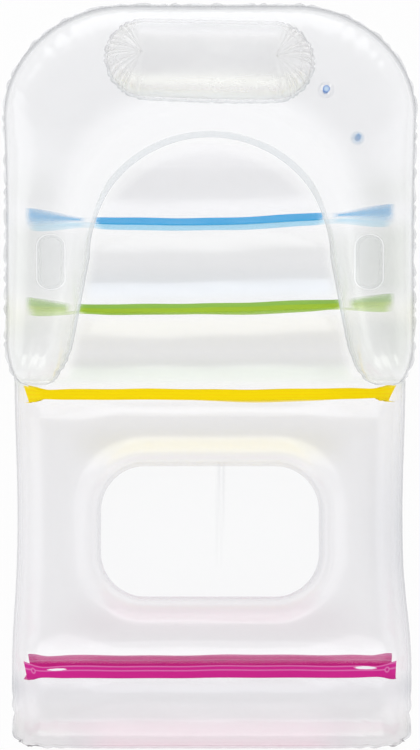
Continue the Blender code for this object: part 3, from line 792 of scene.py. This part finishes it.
def collar_rows():
    """Inner point, outer point, head share and end rise of the sections of the right half."""
    turn = np.linspace(0, math.pi / 2, 13)
    ends = arm_end + np.concatenate([[0, flange / 2], flange + edge_radius * (1 - np.cos(turn))])
    y = joined(ends, spread(ends[-1], bend_y, close_step))
    inner = inner_half + inner_flare * (bend_y - y) / (bend_y - arm_end)
    middle = (inner + half_width) / 2
    share = np.clip((y - arm_end) / arm_end_length, 0, 1)
    round_end = arm_end_share + (1 - arm_end_share) * np.sqrt(1 - (1 - share) ** 2)
    half = (half_width - inner) / 2 * round_end
    arm = np.stack([middle - half, y, middle + half, y, 0 * y, rise(y - arm_end - flange)], axis=-1)
    share = np.linspace(0, 1, head_sections)[1:]
    inner_x = inner_half * np.cos(math.pi / 2 * share)
    inner_y = bend_y + inner_rise * np.sin(math.pi / 2 * share)
    radius_x = half_width - outer_straight
    radius_y = collar_head - outer_bend_y
    straight = outer_bend_y - bend_y
    arc = math.pi / 4 * (radius_x + radius_y)
    travelled = share * (straight + arc + outer_straight)
    angle = np.clip(travelled - straight, 0, arc) / arc * math.pi / 2
    beyond = np.maximum(travelled - straight - arc, 0)
    outer_x = outer_straight + radius_x * np.cos(angle) - beyond
    outer_y = bend_y + np.minimum(travelled, straight) + radius_y * np.sin(angle)
    head = np.stack([inner_x, inner_y, outer_x, outer_y, share, 1 + 0 * share], axis=-1)
    return np.concatenate([arm, head])


right_half = collar_rows()
left_half = right_half[:-1][::-1] * np.array([-1, 1, -1, 1, 1, 1])
collar_sections = np.concatenate([right_half, left_half])


def soft_cap(ratio, softness=0.25):
    """The ratio itself, eased to at most 1."""
    bent = 1 - (1 + softness - ratio) ** 2 / (4 * softness)
    return np.where(ratio < 1 - softness, ratio, np.where(ratio > 1 + softness, 1, bent))


def collar_layer(side):
    """The upper (side 1) or lower (side -1) film of the collar, and its masks."""
    inner, outer = collar_sections[:, 0:2], collar_sections[:, 2:4]
    share, end_rise = collar_sections[:, 4:5], collar_sections[:, 5:6]
    in_arm = share < 0.01
    width = np.linalg.norm(outer - inner, axis=1)[:, None]
    ramp = eased((share - 0.15) / 0.3)
    middle = arm_middle + (head_middle - arm_middle) * ramp
    half_height = (arm_top - arm_middle) / arm_flat_share * (1 - ramp)
    half_height = half_height + (head_top - head_middle) / head_flat_share * ramp
    flat = (arm_top - arm_middle) * (1 - ramp) + (head_top - head_middle) * ramp
    inner_flange = flange + (inner_rim - flange) * ramp
    tube_width = width - inner_flange - outer_rim
    tube = inner_flange + tube_width * (1 - np.cos(np.linspace(0, math.pi, section_points))) / 2
    place = np.concatenate([0 * width, 0.002 + 0 * width, inner_flange - 0.002, tube,
                            width - outer_rim + 0.0012, width - 0.0012, width], axis=1)
    in_gap = place - inner_flange
    outer_gap = width - outer_rim - place
    waver = np.clip(-outer_gap / outer_rim, 0, 1)

    steps = np.linalg.norm(np.gradient(outer, axis=0), axis=1)[:, None]
    seam_run = np.cumsum(steps / (arm_scallop + head_scallop_more * ramp), axis=0)
    seam = humps(seam_run, 1, 21)
    in_seam = humps(seam_run, 1, 8)
    curved = 0.2 + 0.8 * eased((share - 0.12) / 0.25)
    crease = crease_depth * curved * fading(outer_gap, crease_reach) * (1 - seam ** 0.6)
    crease = crease + 0.014 * fading(in_gap, 0.02) * (1 - in_seam ** 0.6)
    end_crease = end_crease_depth * fading(collar_sections[:, 1:2] - arm_end, end_crease_pitch)
    end_crease = end_crease * in_arm * (1 - humps(place, end_crease_pitch, 31) ** 0.6)
    across = np.clip(in_gap / tube_width, 0, 1)
    offset = np.abs(2 * across ** (1 + head_lean * ramp) - 1)
    height = half_height * np.sqrt(1 - offset ** section_power)
    room = flat if side > 0 else middle - collar_floor - film_half
    height = room * soft_cap(height / room)
    height = height * end_rise * (1 - crease - end_crease)

    tail = eased((bend_y - 0.12 - inner[:, 1:2]) / 0.2) * in_arm
    gather = 1 - humps(seam_run, 0.75, 3) ** 0.8
    place = place + 0.009 * tail * np.clip(1 - place / 0.03, 0, 1) * gather
    place = place - waver * outer_rim * 0.8 * (1 - seam ** 0.8)
    direction = (outer - inner) / width
    x = inner[:, 0:1] + direction[:, 0:1] * place
    y = inner[:, 1:2] + direction[:, 1:2] * place
    height = height + ripples(x, y, 17, 0.15, 0.0008) * end_rise * (1 - offset ** 2)
    lift = waver * 0.0015 * np.sin(math.pi * seam_run)
    z = np.clip(middle + side * (film_half + height) + lift, collar_floor, None)

    inner_line = (0.7 - 0.4 * ramp) * bell(in_gap, -inner_flange, 0.0015)
    # A painted highlight over the inner slope: the film is made milky white and clearer there.
    inner_highlight = (0.25 + 0.75 * eased(share / 0.3)) * (in_gap > 0)
    inner_highlight = inner_highlight * eased(1.4 * (1 - np.maximum(in_gap, 0) / highlight_reach))
    blue_light = bump_at(y, blue_weld.foot + 0.01, 0.05)
    green_light = bump_at(y, green_weld.foot + 0.005, 0.05)
    shade = (0.8 + 0.2 * np.sign(x)) * eased((bend_y + 0.22 - y) / 0.15)
    shade = shade * eased((0.6 - share) / 0.3) * end_rise * eased(outer_gap / 0.03)
    on_inner_flange = np.clip(-in_gap / 0.002, 0, 1)
    masks = {
        "near_yellow": (0.25 + tail) * fading(in_gap, 0.03)
        + 3.5 * tail * fading(np.abs(in_gap), 0.006)
        + bump_at(y, green_weld.foot - 0.015, 0.07) * eased(3 * end_rise),
        "near_teal": on_inner_flange * (1 - tail),
        # Painted shade in the puckers by the outer seam, in the tube's creases and in the gathers at
        # the arm ends.
        "crease": np.clip(0.1 * waver + 0.6 * eased((waver - 0.84) / 0.16) + 0.4 * crease
                          + 0.6 * tail * gather * np.exp(-in_gap / 0.01), 0, 1),
        # Whitened where the two films overlap on the inner flange, and under the painted highlight.
        "covered": 0.6 * on_inner_flange + 0.8 * inner_highlight,
        "bright": inner_highlight,
        "shade": shade * (1 - 0.9 * (blue_light + green_light)),
        "seam": np.clip(inner_line + bell(outer_gap, 0, 0.0011), 0, 1),
    }
    return np.stack([x, y, z], axis=-1), masks


COLLAR_TINT = (0.99, 0.991, 0.995, 1)
COLLAR_MARKS_AND_SHADING = (
    ("near_yellow", (0.90, 0.91, 0.74, 1), 0.05),
    ("near_teal", (0.78, 0.93, 0.95, 1), 0.05),
    ("crease", (0.56, 0.58, 0.61, 1), 0.24),
    ("shade", (0.64, 0.69, 0.59, 1), 0.10),
    ("bright", (1, 1, 1, 1), -0.2),
    ("seam", (0.34, 0.35, 0.38, 1), 0.42),
)
collar_film = film_finish("collar_film", COLLAR_TINT, (0.88, 0.885, 0.90, 1), 0.2, 0.2, 0.6, 0.2,
                          COLLAR_MARKS_AND_SHADING)
collar_under = film_finish("collar_under", COLLAR_TINT, WHITE_MILK, 0.12, 0.4, 0.1, 0.3,
                           COLLAR_MARKS_AND_SHADING)
upper, lower, masks = both_films(collar_layer)
around_valve = outside_valve(upper, "collar_valve_base")
collar = grid_piece("collar", [upper, lower], [collar_film, collar_under],
                    [around_valve, np.ones_like(around_valve)], masks)
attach(collar, "back")
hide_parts("collar_top_sheet", "collar_bottom_sheet")

# Head pillow
# A single clear film is welded to the collar's upper film along a rounded outline, and air comes
# through two vents under it. Its ends and corners gather into short radial puckers.
collar_points = upper.reshape(-1, 3)


def collar_height(x, y):
    """Height of the collar's upper film at each place, a mean of its nearest points."""
    heights = []
    for place in np.stack([np.ravel(x), np.ravel(y)], axis=1):
        distance = ((collar_points[:, :2] - place) ** 2).sum(axis=1) + 1e-9
        nearest = np.argpartition(distance, 4)[:4]
        share = 1 / distance[nearest]
        heights.append((collar_points[nearest, 2] * share).sum() / share.sum())
    return np.reshape(heights, np.shape(x))


def stadium(half_length, half_across, count):
    """Evenly spaced points round an outline of two half circles joined by straight sides."""
    straight = half_length - half_across
    arc = math.pi * half_across
    run = np.linspace(0, 4 * straight + 2 * arc, count)[:, None]
    first_end = np.clip(run - straight, 0, arc) / half_across
    second_end = np.clip(run - 3 * straight - arc, 0, arc) / half_across
    angle = math.pi / 2 - first_end - second_end
    along = np.clip(run, 0, straight) - np.clip(run - straight - arc, 0, 2 * straight)
    along = along + np.clip(run - 3 * straight - 2 * arc, 0, straight)
    return along, half_across * np.cos(angle), half_across * np.sin(angle), run


pillow_low, pillow_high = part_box("pillow_top_sheet")
pillow_low += Vector((-0.004, 0.014, 0))
pillow_high += Vector((0.002, -0.004, 0))
pillow_middle = (pillow_low + pillow_high) / 2
pillow_half = (pillow_high - pillow_low) / 2
pillow_rise = pillow_high.z - pillow_low.z - 0.002
pillow_slant = 0.022
pillow_scallop = 0.017
dome_power = 4.4
dome_points = 40
outline_points = 481
spine, edge_x, edge_y, run = stadium(pillow_half.x, pillow_half.y, outline_points)
inner_share = 1 - flange / pillow_half.y
turn = np.linspace(0, math.pi / 2, dome_points)
ring = np.concatenate([[1, (1 + inner_share) / 2], inner_share * np.cos(turn)])[None, :]
seam = humps(run, pillow_scallop, 2)
ends = eased((np.abs(spine + edge_x) - 0.12) / 0.06)
edge_gap = (inner_share - ring) * pillow_half.y
crease = (0.05 + 0.42 * ends) * (1 - seam ** 0.6) * fading(edge_gap, 0.026)
outwards = np.clip(ring / inner_share, 0, 1)
dome = pillow_rise * (1 - outwards ** dome_power) ** 0.5 * (1 - crease)
rim = np.clip(-edge_gap / flange, 0, 1)
scallop = 1 - rim * (1 - seam) * (0.01 + 0.04 * ends)
x = pillow_middle.x + spine + edge_x * ring * scallop
y = pillow_middle.y + edge_y * ring * scallop - pillow_slant * (spine + edge_x)
base = collar_height(x[:, 0], y[:, 0])[:, None]
z = base + (pillow_low.z - base) * (1 - outwards) + film_gap + dome
z = z + ripples(x, y, 23, 0.1, 0.0003) * (1 - outwards ** 2)
z = z + rim * 0.001 * (1 + np.sin(run / 0.005))
head_side = eased(edge_y / 0.06) * (1 - ends)
foot_side = eased(-edge_y / 0.06) * (1 - ends)
# Painted shade along the rim and in the end puckers, painted glints on their humps, and a painted
# highlight along the head side.
pillow_masks = {
    "near_yellow": 0.6 * bump_at(y, pillow_low.y + 0.03, 0.03),
    "near_teal": np.clip(-edge_gap / 0.003, 0, 1) * 0.5 * eased(-edge_y / 0.05),
    "crease": 0.35 * rim + 0.65 * crease + 0.6 * bell(edge_gap, -0.001, 0.0015),
    "glint": ends * seam ** 4 * bell(edge_gap, 0.008, 0.009),
    "bright": head_side * eased(1.5 - edge_gap / 0.03)
    + 0.1 * foot_side * eased(1 - edge_gap / 0.025),
    "seam": 0.6 * bell(edge_gap, -flange, 0.0015) + 0 * z,
}
PILLOW_MARKS_AND_SHADING = COLLAR_MARKS_AND_SHADING[:2] + (
    ("crease", (0.52, 0.54, 0.57, 1), 0.2),
    ("seam", (0.50, 0.51, 0.54, 1), 0.3),
    ("bright", (1, 1, 1, 1), -0.24),
    ("glint", (1, 1, 1, 1), 0.6),
)
pillow_film = film_finish("pillow_film", COLLAR_TINT, (0.83, 0.82, 0.79, 1), 0.25, 0.7, 0.6, 0.38,
                          PILLOW_MARKS_AND_SHADING)
pillow = grid_piece("pillow", [np.stack([x, y, z], axis=-1)], [pillow_film], masks=pillow_masks)
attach(pillow, "back")
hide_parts("pillow_top_sheet")

# Grip patches
# A small clear patch lies on each arm, where a hand holds on. It is welded all round with a double
# line, which is painted white and glows as a painted glint, with painted shade between the lines.
GRIP_MARKS_AND_SHADING = (
    ("crease", (0.6, 0.62, 0.64, 1), 0.12),
    ("weld_line", (1, 1, 1, 1), 0.9),
)
grip_film = film_finish("grip_film", COLLAR_TINT, (0.62, 0.65, 0.62, 1), 0.07, 0.3, 0.2, 0.2,
                        GRIP_MARKS_AND_SHADING, lit="weld_line", glow=0.18)
grip_shift = 0.014
grip_headward = 0.0056
grip_spread = 1.2
outline_points = 121
ring_points = 17
for side in ("left", "right"):
    low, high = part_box(side + "_grip_patch")
    half = (high - low) / 2
    spine, edge_x, edge_y, run = stadium(half.y, half.x, outline_points)
    ring = np.linspace(0, 1, ring_points)[None, :]
    x = (low.x + high.x) / 2 - math.copysign(grip_shift, low.x) + grip_spread * edge_y * ring
    y = (low.y + high.y) / 2 + grip_headward + spine + edge_x * ring
    z = collar_height(x, y) + film_gap
    lines = bell(ring, 0.94, 0.05) + 0.5 * bell(ring, 0.72, 0.05)
    shade = 0.3 * bell(ring, 0.84, 0.04)
    patch = grid_piece(side + "_grip", [np.stack([x, y, z], axis=-1)], [grip_film],
                       masks={"weld_line": lines + 0 * z, "crease": shade + 0 * z})
    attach(patch, "back")
    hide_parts(side + "_grip_patch")

# Valves
# Each has a base welded into its film, and a soft blue stem with its plug and flap. The collar's
# stands out of the film, and the mat's is on the underside, seen dimly through three films.
valve_clear = film_finish("valve_clear", COLLAR_TINT, WHITE_MILK, 0.06, 0.4, 0.5, 0.2)


def valve_finish(name, node, rim_color, core_color, cover, soft_edge):
    """Blue moulded vinyl, darker at its rim, with flow marks. It fades out over the soft edge."""
    low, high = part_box(node)
    middle = ((low.x + high.x) / 2, (low.y + high.y) / 2, 0)
    radius = (high.x - low.x) / 2
    material, wire = new_finish(name)
    place = wire.node("TexCoord", output="Object")
    flat = wire.node("VectorMath", {"operation": "MULTIPLY"}, {0: place, 1: (1, 1, 0)}, "Vector")
    reach = wire.node("VectorMath", {"operation": "DISTANCE"}, {0: flat, 1: middle}, "Value")
    share = (reach * (1 / radius)).clamped()
    marks = wire.node("TexNoise", inputs={"Scale": 300, "Detail": 3})
    bump = wire.node("Bump", inputs={"Strength": 0.1, "Distance": 0.0004, "Height": marks})
    surface = wire.node("BsdfPrincipled", inputs={
        "Base Color": (share ** 3).mixed(core_color, rim_color),
        "Roughness": 0.35 + 0.2 * marks,
        "Normal": bump,
    })
    see_through(wire, surface, cover * (1 - soft_edge * share ** 2))
    return material


collar_blue = valve_finish("collar_valve_blue", "collar_valve_stem", (0.05, 0.20, 0.62, 1),
                           (0.62, 0.78, 0.95, 1), 0.95, 0)
mat_blue = valve_finish("mat_valve_blue", "mat_valve_stem", (0.20, 0.55, 0.88, 1),
                        (0.16, 0.45, 0.82, 1), 0.4, 0.6)
mat_halo = valve_finish("mat_valve_halo", "mat_valve_base", (0.25, 0.60, 0.90, 1),
                        (0.25, 0.58, 0.88, 1), 0.3, 1)
sharp_angle = math.radians(35)
valve_finishes = {"collar_valve": (valve_clear, collar_blue), "mat_valve": (mat_halo, mat_blue)}
for valve, (base, blue) in valve_finishes.items():
    for part in ("base", "stem", "plug", "flap"):
        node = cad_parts[f"{valve}_{part}"]
        node.data.materials.clear()
        node.data.materials.append(base if part == "base" else blue)
        node.data.shade_smooth()
        node.data.set_sharp_from_angle(angle=sharp_angle)

# Floor and studio
# A white floor with a faint shadow, a soft grey ceiling and four bright panels round the chair,
# like a shop's photo table. The floor lies just under the chair's lowest film.
floor_side = 12
floor_gap = 0.0005
floor_glow = 0.93
bpy.ops.mesh.primitive_plane_add(size=floor_side, location=(0, 0, -floor_gap))
floor = bpy.context.object
floor.name = "floor"
floor_paint, wire = new_finish("floor_paint")
path = wire.node("LightPath", output="Is Camera Ray")
glossy = wire.node("LightPath", output="Is Glossy Ray")
passed = wire.node("LightPath", output="Is Transmission Ray")
seen = (path + glossy + passed).clamped() * floor_glow
paint = wire.node("BsdfDiffuse", inputs={"Color": (0.9, 0.9, 0.9, 1)})
white = wire.node("Emission", inputs={"Color": (1, 1, 1, 1), "Strength": 1})
both = wire.node("MixShader", inputs={0: seen, 1: paint, 2: white})
wire.node("OutputMaterial", inputs={"Surface": both})
floor.data.materials.append(floor_paint)

world = bpy.data.worlds.new("studio")
bpy.context.scene.world = world
world.use_nodes = True
world.node_tree.nodes.clear()
wire = Wire(world.node_tree)
direction = wire.node("TexCoord", output="Generated")
up = wire.node("SeparateXYZ", inputs={0: direction}, output="Z")
grey = wire.node("ValToRGB", {"stops": (
    (0.0, (0.80, 0.80, 0.81, 1)),
    (0.45, (0.98, 0.98, 1.0, 1)),
    (0.75, (0.80, 0.80, 0.83, 1)),
    (1.0, (0.32, 0.32, 0.34, 1)),
)}, {0: up})
ceiling = wire.node("Background", inputs={"Color": grey, "Strength": 0.9})
white = wire.node("Background", inputs={"Color": (1, 1, 1, 1), "Strength": 1})
path = wire.node("LightPath", output="Is Camera Ray")
both = wire.node("MixShader", inputs={0: path, 1: ceiling, 2: white})
wire.node("OutputWorld", inputs={"Surface": both})

panel_distance = 3.6
panel_elevation = math.radians(40)
# Each panel's azimuth, radiance, width and height.
PANELS = ((0, 1.0, 3.2, 3.0), (90, 0.1, 3.2, 2.6), (180, 1.0, 3.2, 2.4), (270, 0.4, 3.2, 2.6))
for azimuth, radiance, width, height in PANELS:
    turn = math.radians(azimuth)
    aim = Vector((math.sin(turn) * math.cos(panel_elevation),
                  -math.cos(turn) * math.cos(panel_elevation), math.sin(panel_elevation)))
    light = bpy.data.lights.new(f"panel_{azimuth}", "AREA")
    light.shape = "RECTANGLE"
    light.size = width
    light.size_y = height
    light.energy = radiance * math.pi * width * height
    panel = bpy.data.objects.new(light.name, light)
    panel.location = aim * panel_distance
    panel.rotation_mode = "QUATERNION"
    panel.rotation_quaternion = aim.to_track_quat("Z", "Y")
    bpy.context.scene.collection.objects.link(panel)

scene = bpy.context.scene
scene.view_settings.view_transform = "Standard"
scene.cycles.transparent_max_bounces = 48
scene.cycles.max_bounces = 16
